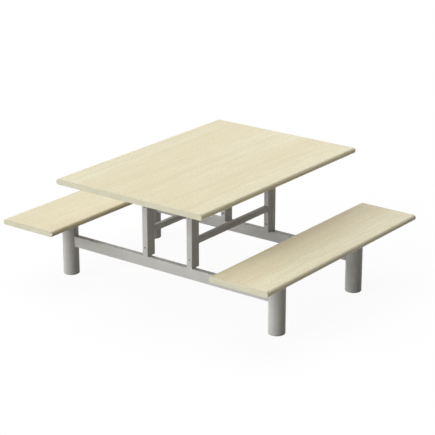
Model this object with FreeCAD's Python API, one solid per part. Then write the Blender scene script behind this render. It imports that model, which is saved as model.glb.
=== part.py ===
import FreeCAD, Part
import math
import os

# A cafeteria table with a bench fixed along each side. All sizes are in millimetres.
# X runs across, from the left bench to the right bench. Y runs along the table, from
# front to rear. Z is up. The origin is on the floor, under the middle of the table.

# Boards: laminated chipboard with full round long edges and a flat band on each end.
BOARD_THICKNESS = 34.0
END_BAND_THICKNESS = 2.0
END_BAND_EDGE_RADIUS = 1.0
TABLE_LENGTH = 1530.0
TABLE_WIDTH = 1050.0
TABLE_HEIGHT = 750.0
BENCH_LENGTH = 1530.0
BENCH_WIDTH = 391.0
BENCH_HEIGHT = 412.0
BENCH_SPACING = 1532.0  # middle of one bench to the middle of the other

# Legs: a round tube near each end of each bench, welded to the plate under the seat.
LEG_DIAMETER = 99.0
LEG_WALL = 2.5
LEG_SPACING = 793.0  # front legs to rear legs, centre to centre
SEAT_PLATE_THICKNESS = 5.0
SEAT_PLATE_MARGIN = 26.0  # plate beyond the leg, on each side
SEAT_PLATE_CORNER_RADIUS = 12.0
SEAT_SCREW_INSET = 15.0  # screw to the plate's edge

# Foot caps: moulded plugs in the bottom of the legs.
FOOT_CAP_HEIGHT = 8.0
FOOT_CAP_EDGE_RADIUS = 5.0
FOOT_SPIGOT_LENGTH = 25.0
FOOT_SPIGOT_WALL = 3.0

# Rectangular tubes of the frame share one wall and one rolled corner.
TUBE_WALL = 2.0
TUBE_OUTER_RADIUS = 3.0
TUBE_INNER_RADIUS = 1.0

# Cross rails: one between the two front legs and one between the two rear legs.
RAIL_UNDERSIDE = 184.0
RAIL_HEIGHT = 66.0
RAIL_DEPTH = 38.0

# Posts stand on the rails. A slightly narrower upright is bolted to the inner face of
# each post.
POST_SPACING = 327.5  # left posts to right posts, centre to centre
POST_WIDTH = 39.0
POST_DEPTH = 38.0
UPRIGHT_WIDTH = 34.0
UPRIGHT_DEPTH = 34.0

# Stretchers tie the front uprights to the rear uprights.
STRETCHER_ABOVE_RAIL = 136.0
STRETCHER_WIDTH = 30.0
STRETCHER_HEIGHT = 35.0

# Tubes that carry the table top: a bearer on each pair of posts, and a rail along
# the table between each pair of uprights.
TOP_TUBE_HEIGHT = 30.0
BEARER_LENGTH = 860.0

# Plastic inserts that close the open tube ends.
PLUG_FLANGE_THICKNESS = 3.0
PLUG_SPIGOT_LENGTH = 16.0
PLUG_SPIGOT_WALL = 2.0

# Bolts: two through each post and its upright.
LOWER_BOLT_ABOVE_RAIL = 55.0
UPPER_BOLT_ABOVE_RAIL = 305.0
BOLT_DIAMETER = 6.0
BOLT_HEAD_DIAMETER = 10.5
BOLT_HEAD_HEIGHT = 3.3
BOLT_HEAD_EDGE_RADIUS = 1.2
BOLT_SOCKET_WIDTH = 4.0
BOLT_SOCKET_DEPTH = 2.0
BOLT_GRIP_IN_NUT = 5.0
WASHER_DIAMETER = 12.0
WASHER_THICKNESS = 1.6
NUT_WIDTH = 10.0
NUT_HEX_HEIGHT = 5.5
NUT_SHOULDER = 0.4  # round the foot of the dome

# Wood screws: through the top tubes into the table top, and through the seat plates
# into the seats.
SCREW_DIAMETER = 5.0
SCREW_HEAD_DIAMETER = 10.0
SCREW_HEAD_HEIGHT = 3.2
SCREW_HEAD_EDGE_RADIUS = 1.5
SCREW_TIP_LENGTH = 5.0
SCREW_BITE = 20.0  # length in the board
CROSS_LENGTH = 4.6
CROSS_WIDTH = 1.2
CROSS_DEPTH = 1.8
BEARER_SCREW_FROM_POST = 60.0
BEARER_SCREW_FROM_PLUG = 19.0
TOP_RAIL_SCREW_FROM_END = 60.0

# Clearances.
WELD_GAP = 0.3  # a cross rail's end to the leg
PLUG_CLEARANCE = 0.3  # a plastic spigot to the tube round it
HOLE_CLEARANCE = 0.5  # a shank to a drilled hole, all round
THREAD_CLEARANCE = 0.1  # a shank to its own thread, all round
PILOT_HOLE_SPARE = 1.0  # pilot hole beyond a screw's tip
NUT_BORE_SPARE = 2.5  # nut's bore beyond a bolt's end

# Places that follow from the sizes above.
BOARD_EDGE_RADIUS = BOARD_THICKNESS / 2
TABLE_UNDERSIDE = TABLE_HEIGHT - BOARD_THICKNESS
BENCH_UNDERSIDE = BENCH_HEIGHT - BOARD_THICKNESS
BENCH_X = BENCH_SPACING / 2
LEG_Y = LEG_SPACING / 2
LEG_RADIUS = LEG_DIAMETER / 2
LEG_BORE_RADIUS = LEG_RADIUS - LEG_WALL
LEG_TOP = BENCH_UNDERSIDE - SEAT_PLATE_THICKNESS
SEAT_PLATE_SIDE = LEG_DIAMETER + 2 * SEAT_PLATE_MARGIN
SEAT_SCREW_OFFSET = SEAT_PLATE_SIDE / 2 - SEAT_SCREW_INSET
RAIL_TOP = RAIL_UNDERSIDE + RAIL_HEIGHT
FRAME_FACE_Y = LEG_Y + RAIL_DEPTH / 2
POST_INNER_Y = FRAME_FACE_Y - POST_DEPTH
UPRIGHT_INNER_Y = POST_INNER_Y - UPRIGHT_DEPTH
POST_X = POST_SPACING / 2
POST_Y = FRAME_FACE_Y - POST_DEPTH / 2
UPRIGHT_Y = POST_INNER_Y - UPRIGHT_DEPTH / 2
TOP_TUBE_UNDERSIDE = TABLE_UNDERSIDE - TOP_TUBE_HEIGHT
UPRIGHT_BOTTOM = RAIL_TOP + PLUG_FLANGE_THICKNESS
STRETCHER_UNDERSIDE = RAIL_TOP + STRETCHER_ABOVE_RAIL
BOLT_HEIGHTS = [RAIL_TOP + LOWER_BOLT_ABOVE_RAIL, RAIL_TOP + UPPER_BOLT_ABOVE_RAIL]
BOLT_LENGTH = POST_DEPTH + UPRIGHT_DEPTH + WASHER_THICKNESS + BOLT_GRIP_IN_NUT
BOLT_HOLE_RADIUS = BOLT_DIAMETER / 2 + HOLE_CLEARANCE
BOLT_THREAD_RADIUS = BOLT_DIAMETER / 2 + THREAD_CLEARANCE
SCREW_HOLE_RADIUS = SCREW_DIAMETER / 2 + HOLE_CLEARANCE
PILOT_HOLE_RADIUS = SCREW_DIAMETER / 2 + THREAD_CLEARANCE
PILOT_HOLE_DEPTH = SCREW_BITE + PILOT_HOLE_SPARE
NUT_DOME_RADIUS = NUT_WIDTH / 2 - NUT_SHOULDER
NUT_BORE_DEPTH = BOLT_GRIP_IN_NUT + NUT_BORE_SPARE
BEARER_SCREWS_X = [
    POST_X - BEARER_SCREW_FROM_POST,
    POST_X + BEARER_SCREW_FROM_POST,
    BEARER_LENGTH / 2 - PLUG_SPIGOT_LENGTH - BEARER_SCREW_FROM_PLUG,
]
LAST_TOP_RAIL_SCREW_Y = UPRIGHT_INNER_Y - TOP_RAIL_SCREW_FROM_END
TOP_RAIL_SCREWS_Y = [-LAST_TOP_RAIL_SCREW_Y, 0, LAST_TOP_RAIL_SCREW_Y]

ENDS = {"front": -1, "rear": 1}
SIDES = {"left": -1, "right": 1}
X_AXIS = FreeCAD.Vector(1, 0, 0)
Y_AXIS = FreeCAD.Vector(0, 1, 0)
Z_AXIS = FreeCAD.Vector(0, 0, 1)
ORIGIN = FreeCAD.Vector(0, 0, 0)
QUARTER_TURN = 90
HEXAGON_SIDES = 6
SAME_PLACE = 0.001  # two places this close are the same


# Shapes that several sub-parts share. Each is made along +Z from the origin.


def rounded_rectangle(width, depth, radius):
    """A closed outline round the origin: width along X, depth along Y, round corners."""
    x = width / 2 - radius
    y = depth / 2 - radius
    corners = []
    for quarter, centre in enumerate([(x, y), (-x, y), (-x, -y), (x, -y)]):
        circle = Part.Circle(FreeCAD.Vector(*centre, 0), Z_AXIS, radius)
        start = quarter * math.pi / 2
        corners.append(Part.Arc(circle, start, start + math.pi / 2).toShape())
    edges = []
    for corner, following in zip(corners, corners[1:] + corners[:1]):
        edges.append(corner)
        edges.append(Part.makeLine(corner.Vertexes[-1].Point, following.Vertexes[0].Point))
    return Part.Wire(edges)


def bar(width, depth, radius, length):
    """A solid rectangular bar with round corners."""
    return Part.Face(rounded_rectangle(width, depth, radius)).extrude(Z_AXIS * length)


def box_tube(width, depth, length):
    """A rectangular tube."""
    outside = bar(width, depth, TUBE_OUTER_RADIUS, length)
    bore = bar(width - 2 * TUBE_WALL, depth - 2 * TUBE_WALL, TUBE_INNER_RADIUS, length)
    return outside.cut(bore)


def hexagon_bar(width, length):
    """A hexagonal bar, measured across its flats."""
    corner_radius = width / math.sqrt(3)
    corners = []
    for corner in range(HEXAGON_SIDES):
        turn = corner * 2 * math.pi / HEXAGON_SIDES
        corners.append(FreeCAD.Vector(math.cos(turn), math.sin(turn), 0) * corner_radius)
    return Part.Face(Part.makePolygon(corners + corners[:1])).extrude(Z_AXIS * length)


def round_edges_at(shape, height, radius):
    """Rounds the edges of a turned shape that lie flat at one height."""
    edges = []
    for edge in shape.Edges:
        if all(abs(vertex.Z - height) < SAME_PLACE for vertex in edge.Vertexes):
            edges.append(edge)
    return shape.makeFillet(radius, edges)


def moved(shape, x, y, z):
    """A copy of a shape, moved."""
    copy = shape.copy()
    copy.translate(FreeCAD.Vector(x, y, z))
    return copy


def turned(shape, axis, angle):
    """A copy of a shape, turned about an axis through the origin."""
    copy = shape.copy()
    copy.rotate(ORIGIN, axis, angle)
    return copy


# Boards.


def board_outline(width):
    """A board's cross-section in the XZ plane, full round at both long edges."""
    x = width / 2 - BOARD_EDGE_RADIUS
    z = BOARD_EDGE_RADIUS
    top_left = FreeCAD.Vector(-x, 0, z)
    top_right = FreeCAD.Vector(x, 0, z)
    low_left = FreeCAD.Vector(-x, 0, -z)
    low_right = FreeCAD.Vector(x, 0, -z)
    right_edge = FreeCAD.Vector(width / 2, 0, 0)
    left_edge = FreeCAD.Vector(-width / 2, 0, 0)
    return Part.Wire([
        Part.makeLine(top_left, top_right),
        Part.Arc(top_right, right_edge, low_right).toShape(),
        Part.makeLine(low_right, low_left),
        Part.Arc(low_left, left_edge, top_left).toShape(),
    ])


def board(width, front, rear, x, top):
    """A stretch of board from front to rear, with its top face at the given height."""
    blank = Part.Face(board_outline(width)).extrude(Y_AXIS * (rear - front))
    return moved(blank, x, front, top - BOARD_EDGE_RADIUS)


def drill_pilot_holes(blank, places, underside):
    """Drills a blind hole up into a board for each screw."""
    hole = Part.makeCylinder(PILOT_HOLE_RADIUS, PILOT_HOLE_DEPTH)
    holes = [moved(hole, x, y, underside) for x, y in places]
    return blank.cut(Part.makeCompound(holes))


def table_top():
    half = TABLE_LENGTH / 2 - END_BAND_THICKNESS
    blank = board(TABLE_WIDTH, -half, half, 0, TABLE_HEIGHT)
    return drill_pilot_holes(blank, bearer_screw_places() + top_rail_screw_places(), TABLE_UNDERSIDE)


def bench_seat(side):
    half = BENCH_LENGTH / 2 - END_BAND_THICKNESS
    blank = board(BENCH_WIDTH, -half, half, side * BENCH_X, BENCH_HEIGHT)
    places = []
    for end in ENDS.values():
        places += seat_screw_places(end, side)
    return drill_pilot_holes(blank, places, BENCH_UNDERSIDE)


def end_band(length, width, end, x, top):
    """The flat band glued on one end of a board, with the rim of its outer face eased."""
    middle = end * (length - END_BAND_THICKNESS) / 2
    front = middle - END_BAND_THICKNESS / 2
    band = board(width, front, front + END_BAND_THICKNESS, x, top)
    outer_face = end * length / 2
    rim = []
    for edge in band.Edges:
        if all(abs(vertex.Y - outer_face) < SAME_PLACE for vertex in edge.Vertexes):
            rim.append(edge)
    return band.makeFillet(END_BAND_EDGE_RADIUS, rim)


def table_band(end):
    return end_band(TABLE_LENGTH, TABLE_WIDTH, end, 0, TABLE_HEIGHT)


def bench_band(end, side):
    return end_band(BENCH_LENGTH, BENCH_WIDTH, end, side * BENCH_X, BENCH_HEIGHT)


# Legs.


def leg(end, side):
    height = LEG_TOP - FOOT_CAP_HEIGHT
    tube = Part.makeCylinder(LEG_RADIUS, height).cut(Part.makeCylinder(LEG_BORE_RADIUS, height))
    return moved(tube, side * BENCH_X, end * LEG_Y, FOOT_CAP_HEIGHT)


def foot_cap(end, side):
    disc = Part.makeCylinder(LEG_RADIUS, FOOT_CAP_HEIGHT)
    disc = round_edges_at(disc, 0, FOOT_CAP_EDGE_RADIUS)
    spigot_radius = LEG_BORE_RADIUS - PLUG_CLEARANCE
    spigot_top = FOOT_CAP_HEIGHT + FOOT_SPIGOT_LENGTH
    spigot = Part.makeCylinder(spigot_radius, spigot_top - FOOT_CAP_EDGE_RADIUS)
    cap = disc.fuse(moved(spigot, 0, 0, FOOT_CAP_EDGE_RADIUS))
    hollow = Part.makeCylinder(spigot_radius - FOOT_SPIGOT_WALL, FOOT_SPIGOT_LENGTH)
    cap = cap.cut(moved(hollow, 0, 0, FOOT_CAP_HEIGHT)).removeSplitter()
    return moved(cap, side * BENCH_X, end * LEG_Y, 0)


def seat_screw_places(end, side):
    """The screws through one seat plate."""
    places = []
    for x in (-SEAT_SCREW_OFFSET, SEAT_SCREW_OFFSET):
        for y in (-SEAT_SCREW_OFFSET, SEAT_SCREW_OFFSET):
            places.append((side * BENCH_X + x, end * LEG_Y + y))
    return places


def seat_plate(end, side):
    plate = bar(SEAT_PLATE_SIDE, SEAT_PLATE_SIDE, SEAT_PLATE_CORNER_RADIUS, SEAT_PLATE_THICKNESS)
    plate = moved(plate, side * BENCH_X, end * LEG_Y, LEG_TOP)
    hole = Part.makeCylinder(SCREW_HOLE_RADIUS, SEAT_PLATE_THICKNESS)
    for x, y in seat_screw_places(end, side):
        plate = plate.cut(moved(hole, x, y, LEG_TOP))
    return plate


# Frame.


def cross_rail(end):
    """A tube from leg to leg, cut square at each end, where it meets the side of the leg."""
    length = 2 * (BENCH_X - LEG_RADIUS - WELD_GAP)
    tube = turned(box_tube(RAIL_HEIGHT, RAIL_DEPTH, length), Y_AXIS, QUARTER_TURN)
    return moved(tube, -length / 2, end * LEG_Y, RAIL_UNDERSIDE + RAIL_HEIGHT / 2)


def drill_for_bolts(tube, end, side):
    """Drills a standing tube from front to rear at the height of each bolt."""
    length = 2 * (POST_DEPTH + UPRIGHT_DEPTH)
    drill = turned(Part.makeCylinder(BOLT_HOLE_RADIUS, length), X_AXIS, -QUARTER_TURN)
    for height in BOLT_HEIGHTS:
        tube = tube.cut(moved(drill, side * POST_X, end * POST_INNER_Y - length / 2, height))
    return tube


def post(end, side):
    """Stands on the cross rail and carries the bearer."""
    tube = box_tube(POST_WIDTH, POST_DEPTH, TOP_TUBE_UNDERSIDE - RAIL_TOP)
    return drill_for_bolts(moved(tube, side * POST_X, end * POST_Y, RAIL_TOP), end, side)


def upright(end, side):
    """Is bolted against the post and reaches up to the table top."""
    tube = box_tube(UPRIGHT_WIDTH, UPRIGHT_DEPTH, TABLE_UNDERSIDE - UPRIGHT_BOTTOM)
    return drill_for_bolts(moved(tube, side * POST_X, end * UPRIGHT_Y, UPRIGHT_BOTTOM), end, side)


def lengthwise_tube(side, height, underside):
    """A tube between the front and rear uprights of one side."""
    tube = turned(box_tube(STRETCHER_WIDTH, height, 2 * UPRIGHT_INNER_Y), X_AXIS, -QUARTER_TURN)
    return moved(tube, side * POST_X, -UPRIGHT_INNER_Y, underside + height / 2)


def stretcher(side):
    return lengthwise_tube(side, STRETCHER_HEIGHT, STRETCHER_UNDERSIDE)


def top_rail_screw_places():
    """The screws through both top rails."""
    places = []
    for side in SIDES.values():
        for y in TOP_RAIL_SCREWS_Y:
            places.append((side * POST_X, y))
    return places


def bearer_screw_places():
    """The screws through both bearers."""
    places = []
    for end in ENDS.values():
        for side in SIDES.values():
            for x in BEARER_SCREWS_X:
                places.append((side * x, end * POST_Y))
    return places


def drill_for_screws(tube, places):
    """Drills a lying tube from below through both walls, for each screw."""
    hole = Part.makeCylinder(SCREW_HOLE_RADIUS, TOP_TUBE_HEIGHT)
    for x, y in places:
        tube = tube.cut(moved(hole, x, y, TOP_TUBE_UNDERSIDE))
    return tube


def top_rail(side):
    tube = lengthwise_tube(side, TOP_TUBE_HEIGHT, TOP_TUBE_UNDERSIDE)
    return drill_for_screws(tube, [place for place in top_rail_screw_places() if place[0] * side > 0])


def top_bearer(end):
    tube = turned(box_tube(TOP_TUBE_HEIGHT, POST_DEPTH, BEARER_LENGTH), Y_AXIS, QUARTER_TURN)
    tube = moved(tube, -BEARER_LENGTH / 2, end * POST_Y, TOP_TUBE_UNDERSIDE + TOP_TUBE_HEIGHT / 2)
    return drill_for_screws(tube, [place for place in bearer_screw_places() if place[1] * end > 0])


# Plastic inserts.


def tube_plug(width, depth):
    """An insert for a rectangular tube: its flange below the origin, its hollow spigot above."""
    flange = bar(width, depth, TUBE_OUTER_RADIUS, PLUG_FLANGE_THICKNESS)
    shrink = 2 * (TUBE_WALL + PLUG_CLEARANCE)
    spigot = bar(width - shrink, depth - shrink, TUBE_INNER_RADIUS, PLUG_SPIGOT_LENGTH)
    shrink += 2 * PLUG_SPIGOT_WALL
    hollow = bar(width - shrink, depth - shrink, TUBE_INNER_RADIUS, PLUG_SPIGOT_LENGTH)
    return moved(flange, 0, 0, -PLUG_FLANGE_THICKNESS).fuse(spigot.cut(hollow))


def upright_plug(end, side):
    """Closes the bottom of an upright."""
    plug = tube_plug(UPRIGHT_WIDTH, UPRIGHT_DEPTH)
    return moved(plug, side * POST_X, end * UPRIGHT_Y, UPRIGHT_BOTTOM)


def bearer_plug(end, side):
    """Closes one end of a bearer."""
    plug = turned(tube_plug(TOP_TUBE_HEIGHT, POST_DEPTH), Y_AXIS, -side * QUARTER_TURN)
    return moved(plug, side * BEARER_LENGTH / 2, end * POST_Y, TOP_TUBE_UNDERSIDE + TOP_TUBE_HEIGHT / 2)


# Fasteners. Each is made with its bearing face at the origin and its shank along +Z.


def bolt():
    head = moved(Part.makeCylinder(BOLT_HEAD_DIAMETER / 2, BOLT_HEAD_HEIGHT), 0, 0, -BOLT_HEAD_HEIGHT)
    head = round_edges_at(head, -BOLT_HEAD_HEIGHT, BOLT_HEAD_EDGE_RADIUS)
    head = head.cut(moved(hexagon_bar(BOLT_SOCKET_WIDTH, BOLT_SOCKET_DEPTH), 0, 0, -BOLT_HEAD_HEIGHT))
    return head.fuse(Part.makeCylinder(BOLT_DIAMETER / 2, BOLT_LENGTH))


def washer():
    disc = Part.makeCylinder(WASHER_DIAMETER / 2, WASHER_THICKNESS)
    return disc.cut(Part.makeCylinder(BOLT_HOLE_RADIUS, WASHER_THICKNESS))


def cap_nut():
    dome = moved(Part.makeSphere(NUT_DOME_RADIUS), 0, 0, NUT_HEX_HEIGHT)
    dome = dome.cut(moved(Part.makeCylinder(NUT_WIDTH, NUT_WIDTH), 0, 0, -NUT_WIDTH))
    body = hexagon_bar(NUT_WIDTH, NUT_HEX_HEIGHT).fuse(dome)
    return body.cut(Part.makeCylinder(BOLT_THREAD_RADIUS, NUT_BORE_DEPTH))


def wood_screw(clamped):
    """A pan-head screw that clamps the given thickness to a board."""
    radius = SCREW_DIAMETER / 2
    head = moved(Part.makeCylinder(SCREW_HEAD_DIAMETER / 2, SCREW_HEAD_HEIGHT), 0, 0, -SCREW_HEAD_HEIGHT)
    head = round_edges_at(head, -SCREW_HEAD_HEIGHT, SCREW_HEAD_EDGE_RADIUS)
    for length, width in ((CROSS_LENGTH, CROSS_WIDTH), (CROSS_WIDTH, CROSS_LENGTH)):
        slot = Part.makeBox(length, width, CROSS_DEPTH)
        head = head.cut(moved(slot, -length / 2, -width / 2, -SCREW_HEAD_HEIGHT))
    plain_length = clamped + SCREW_BITE - SCREW_TIP_LENGTH
    tip = moved(Part.makeCone(radius, 0, SCREW_TIP_LENGTH), 0, 0, plain_length)
    return head.fuse(Part.makeCylinder(radius, plain_length)).fuse(tip)


def at_bolt_places(fastener, distance):
    """Copies a fastener to every bolt, its face at a distance from the table's middle and its
    shank pointing inwards."""
    copies = []
    for end in ENDS.values():
        placed = turned(fastener, X_AXIS, end * QUARTER_TURN)
        for side in SIDES.values():
            for height in BOLT_HEIGHTS:
                copies.append(moved(placed, side * POST_X, end * distance, height))
    return Part.makeCompound(copies)


def top_screws():
    screw = wood_screw(TOP_TUBE_HEIGHT)
    places = bearer_screw_places() + top_rail_screw_places()
    return Part.makeCompound([moved(screw, x, y, TOP_TUBE_UNDERSIDE) for x, y in places])


def seat_screws():
    screw = wood_screw(SEAT_PLATE_THICKNESS)
    copies = []
    for end in ENDS.values():
        for side in SIDES.values():
            copies += [moved(screw, x, y, LEG_TOP) for x, y in seat_screw_places(end, side)]
    return Part.makeCompound(copies)


# The whole table.


def all_nodes():
    """Every sub-part, under the name of its node."""
    nodes = {"table_top": table_top()}
    for end_name, end in ENDS.items():
        nodes["table_band_" + end_name] = table_band(end)
        nodes["cross_rail_" + end_name] = cross_rail(end)
        nodes["top_bearer_" + end_name] = top_bearer(end)
    for side_name, side in SIDES.items():
        nodes["bench_seat_" + side_name] = bench_seat(side)
        nodes["stretcher_" + side_name] = stretcher(side)
        nodes["top_rail_" + side_name] = top_rail(side)
    for end_name, end in ENDS.items():
        for side_name, side in SIDES.items():
            corner = end_name + "_" + side_name
            nodes["bench_band_" + corner] = bench_band(end, side)
            nodes["leg_" + corner] = leg(end, side)
            nodes["foot_cap_" + corner] = foot_cap(end, side)
            nodes["seat_plate_" + corner] = seat_plate(end, side)
            nodes["post_" + corner] = post(end, side)
            nodes["upright_" + corner] = upright(end, side)
            nodes["upright_plug_" + corner] = upright_plug(end, side)
            nodes["bearer_plug_" + corner] = bearer_plug(end, side)
    nodes["frame_bolts"] = at_bolt_places(bolt(), FRAME_FACE_Y)
    nodes["frame_washers"] = at_bolt_places(washer(), UPRIGHT_INNER_Y)
    nodes["frame_cap_nuts"] = at_bolt_places(cap_nut(), UPRIGHT_INNER_Y - WASHER_THICKNESS)
    nodes["top_screws"] = top_screws()
    nodes["seat_screws"] = seat_screws()
    return nodes


os.makedirs("parts", exist_ok=True)
for node_name, node_shape in all_nodes().items():
    node_shape.exportStep("parts/" + node_name + ".step")
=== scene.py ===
import bpy
import math
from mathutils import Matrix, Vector


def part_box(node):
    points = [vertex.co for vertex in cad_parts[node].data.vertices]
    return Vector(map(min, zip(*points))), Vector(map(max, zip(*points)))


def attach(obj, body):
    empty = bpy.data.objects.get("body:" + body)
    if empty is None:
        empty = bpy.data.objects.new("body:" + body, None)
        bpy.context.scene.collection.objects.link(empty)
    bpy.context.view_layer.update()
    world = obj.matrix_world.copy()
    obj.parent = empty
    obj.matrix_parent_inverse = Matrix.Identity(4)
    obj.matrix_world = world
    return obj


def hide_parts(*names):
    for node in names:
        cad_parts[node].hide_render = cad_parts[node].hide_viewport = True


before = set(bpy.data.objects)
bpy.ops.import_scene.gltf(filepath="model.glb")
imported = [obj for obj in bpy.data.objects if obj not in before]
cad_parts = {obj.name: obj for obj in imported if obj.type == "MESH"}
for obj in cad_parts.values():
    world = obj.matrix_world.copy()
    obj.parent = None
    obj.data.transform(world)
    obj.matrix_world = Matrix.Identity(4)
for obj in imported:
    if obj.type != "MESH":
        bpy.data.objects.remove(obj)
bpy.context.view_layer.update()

# Lengths are in metres. X runs across, from the left bench to the right bench, Y runs
# along the table from front to rear, and Z is up.


# ---------------------------------------------------------------------------------------
# The table top and the two bench seats.
# Chipboard faced with pale maple laminate, which is pressed on the upper face and bent
# round both long edges. A plain backing sheet covers the underside between them.
# ---------------------------------------------------------------------------------------

MAPLE_PALE = (0.798, 0.758, 0.560, 1)
MAPLE_WARM = (0.756, 0.684, 0.474, 1)
MAPLE_STREAK = (0.650, 0.565, 0.370, 1)
MAPLE_FLECK = (0.500, 0.405, 0.255, 1)
BACKING_SHEET = (0.640, 0.610, 0.530, 1)
GLUE_LINE = (0.230, 0.190, 0.130, 1)
LAMINATE_TURNED_UNDER = 0.024  # from a board's long edge to the backing sheet
GLUE_LINE_WIDTH = 0.0006
FACES_DOWN = -0.98  # the Z part of a normal that looks straight down, nearly

# The figure of the wood: how often each kind of mark comes in a metre along X, Y and Z,
# and the stretch of its noise over which it appears.
WANDER_PER_METRE = (2.5, 0.9, 2.5)
WANDER_WIDTH = 0.02  # from side to side, at the most
BANDS_PER_METRE = (2.7, 0.22, 2.7)
BANDS_APPEAR = (0.46, 0.63)
BANDS_RAGGED = 0.16  # how far the strokes break up the edges of the bands
STREAKS_PER_METRE = (42, 0.9, 42)
STREAKS_APPEAR = (0.40, 0.76)
STROKES_PER_METRE = (130, 6, 130)
STROKES_APPEAR = (0.38, 0.68)
FIBRES_PER_METRE = (900, 16, 900)
FLECKS_PER_METRE = (160, 55, 160)
FLECKS_APPEAR = (0.45, 0.72)

# What each kind of mark lays over the pale wood, in this order, and how strongly.
GRAIN_STAINS = {
    "Streaks": (MAPLE_STREAK, 0.44),
    "Strokes": (MAPLE_STREAK, 0.36),
    "Fibres": (MAPLE_STREAK, 0.16),
    "Flecks": (MAPLE_FLECK, 0.33),
}
BACKING_SPECKS_PER_METRE = 420
BACKING_SPECKS_STRENGTH = 0.3

LAMINATE_ROUGHNESS = 0.50
HANDLED_ROUGHNESS = 0.42  # where hands and cloths have polished it
HANDLED_PER_METRE = (7, 5, 7)
HANDLED_APPEARS = (0.35, 0.75)
FIBRE_ROUGHNESS = 0.08  # what the fibres add
FLECK_DEPTH = 0.8  # to the height of the fibres
LAMINATE_RELIEF = 0.00006
LAMINATE_IOR = 1.47


def add_node(tree, kind, settings=None, inputs=None):
    """Adds a node, changes its settings, and sets or links its inputs."""
    node = tree.nodes.new(kind)
    for name, value in (settings or {}).items():
        setattr(node, name, value)
    for name, value in (inputs or {}).items():
        if isinstance(value, bpy.types.NodeSocket):
            tree.links.new(value, node.inputs[name])
        else:
            node.inputs[name].default_value = value
    return node


def calculate(tree, operation, *values):
    """The result of a Math node on numbers or sockets."""
    node = add_node(tree, "ShaderNodeMath", {"operation": operation}, dict(enumerate(values)))
    return node.outputs[0]


def fade(tree, value, start, end):
    """A smooth change from 0 to 1 while a value goes from start to end."""
    inputs = {"Value": value, "From Min": start, "From Max": end}
    node = add_node(tree, "ShaderNodeMapRange", {"interpolation_type": "SMOOTHSTEP"}, inputs)
    return node.outputs["Result"]


def between(tree, amount, at_none, at_full):
    """A number that goes from one value to another with an amount from 0 to 1."""
    inputs = {"Value": amount, "To Min": at_none, "To Max": at_full}
    return add_node(tree, "ShaderNodeMapRange", inputs=inputs).outputs["Result"]


def mix_colours(tree, amount, first, second):
    """The first colour, turning into the second with an amount from 0 to 1."""
    # A Mix node has sockets for each type of data, and 6, 7 and output 2 are for colours.
    inputs = {"Factor": amount, 6: first, 7: second}
    return add_node(tree, "ShaderNodeMix", {"data_type": "RGBA"}, inputs).outputs[2]


def moved(tree, place, shift):
    """A place, moved by a shift."""
    return add_node(tree, "ShaderNodeVectorMath", {"operation": "ADD"}, {0: place, 1: shift}).outputs[0]


def noise(tree, place, per_metre, detail):
    """Smooth noise, with a number of features for each metre every way or along X, Y and Z."""
    if isinstance(per_metre, tuple):
        operation, inputs = "MULTIPLY", {0: place, 1: per_metre}
    else:
        operation, inputs = "SCALE", {0: place, "Scale": per_metre}
    scaled = add_node(tree, "ShaderNodeVectorMath", {"operation": operation}, inputs)
    inputs = {"Vector": scaled.outputs[0], "Scale": 1, "Detail": detail}
    return add_node(tree, "ShaderNodeTexNoise", inputs=inputs).outputs["Fac"]


def new_group(name, inputs, outputs):
    """An empty group for materials, with its input node's sockets and its output node."""
    group = bpy.data.node_groups.new(name, "ShaderNodeTree")
    for socket, kind in inputs.items():
        group.interface.new_socket(socket, in_out="INPUT", socket_type=kind)
    for socket in outputs:
        group.interface.new_socket(socket, in_out="OUTPUT", socket_type="NodeSocketFloat")
    return group, group.nodes.new("NodeGroupInput").outputs, group.nodes.new("NodeGroupOutput")


def new_material(name):
    """A material with its tree, its shader and the object's own coordinates."""
    material = bpy.data.materials.new(name)
    material.use_nodes = True
    tree = material.node_tree
    place = add_node(tree, "ShaderNodeTexCoord").outputs["Object"]
    return material, tree, tree.nodes["Principled BSDF"], place


def use_group(tree, group, **inputs):
    """Places a group in a tree and returns its outputs."""
    return add_node(tree, "ShaderNodeGroup", {"node_tree": group}, inputs).outputs


def join_surface(tree, shader, colour, roughness, height, relief):
    """Links a shader to its colour, its roughness and its relief, a height in metres."""
    tree.links.new(colour, shader.inputs["Base Color"])
    tree.links.new(roughness, shader.inputs["Roughness"])
    bump = add_node(tree, "ShaderNodeBump", inputs={"Height": height, "Strength": 1, "Distance": relief})
    tree.links.new(bump.outputs["Normal"], shader.inputs["Normal"])


def paint(node, material):
    """Gives a piece one material."""
    node.data.materials.clear()
    node.data.materials.append(material)


# The grain of the maple runs along Y: broad soft bands, long narrow streaks, short thin
# strokes, fine fibres and darker flecks.
maple_grain, given, result = new_group(
    "maple_grain",
    {"Vector": "NodeSocketVector", "Shift": "NodeSocketVector"},
    ["Bands", "Streaks", "Strokes", "Fibres", "Flecks"],
)
shifted = moved(maple_grain, given["Vector"], given["Shift"])
wander = noise(maple_grain, shifted, WANDER_PER_METRE, detail=1)
wander = calculate(maple_grain, "SUBTRACT", wander, 0.5)
wander = calculate(maple_grain, "MULTIPLY", wander, WANDER_WIDTH)
sideways = add_node(maple_grain, "ShaderNodeCombineXYZ", inputs={"X": wander}).outputs[0]
flowing = moved(maple_grain, shifted, sideways)
band_noise = noise(maple_grain, flowing, BANDS_PER_METRE, detail=2)
streak_noise = noise(maple_grain, flowing, STREAKS_PER_METRE, detail=3)
stroke_noise = noise(maple_grain, flowing, STROKES_PER_METRE, detail=3)
fleck_noise = noise(maple_grain, shifted, FLECKS_PER_METRE, detail=1)
ragged = calculate(maple_grain, "MULTIPLY", stroke_noise, BANDS_RAGGED)
ragged = calculate(maple_grain, "ADD", band_noise, ragged)
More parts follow.
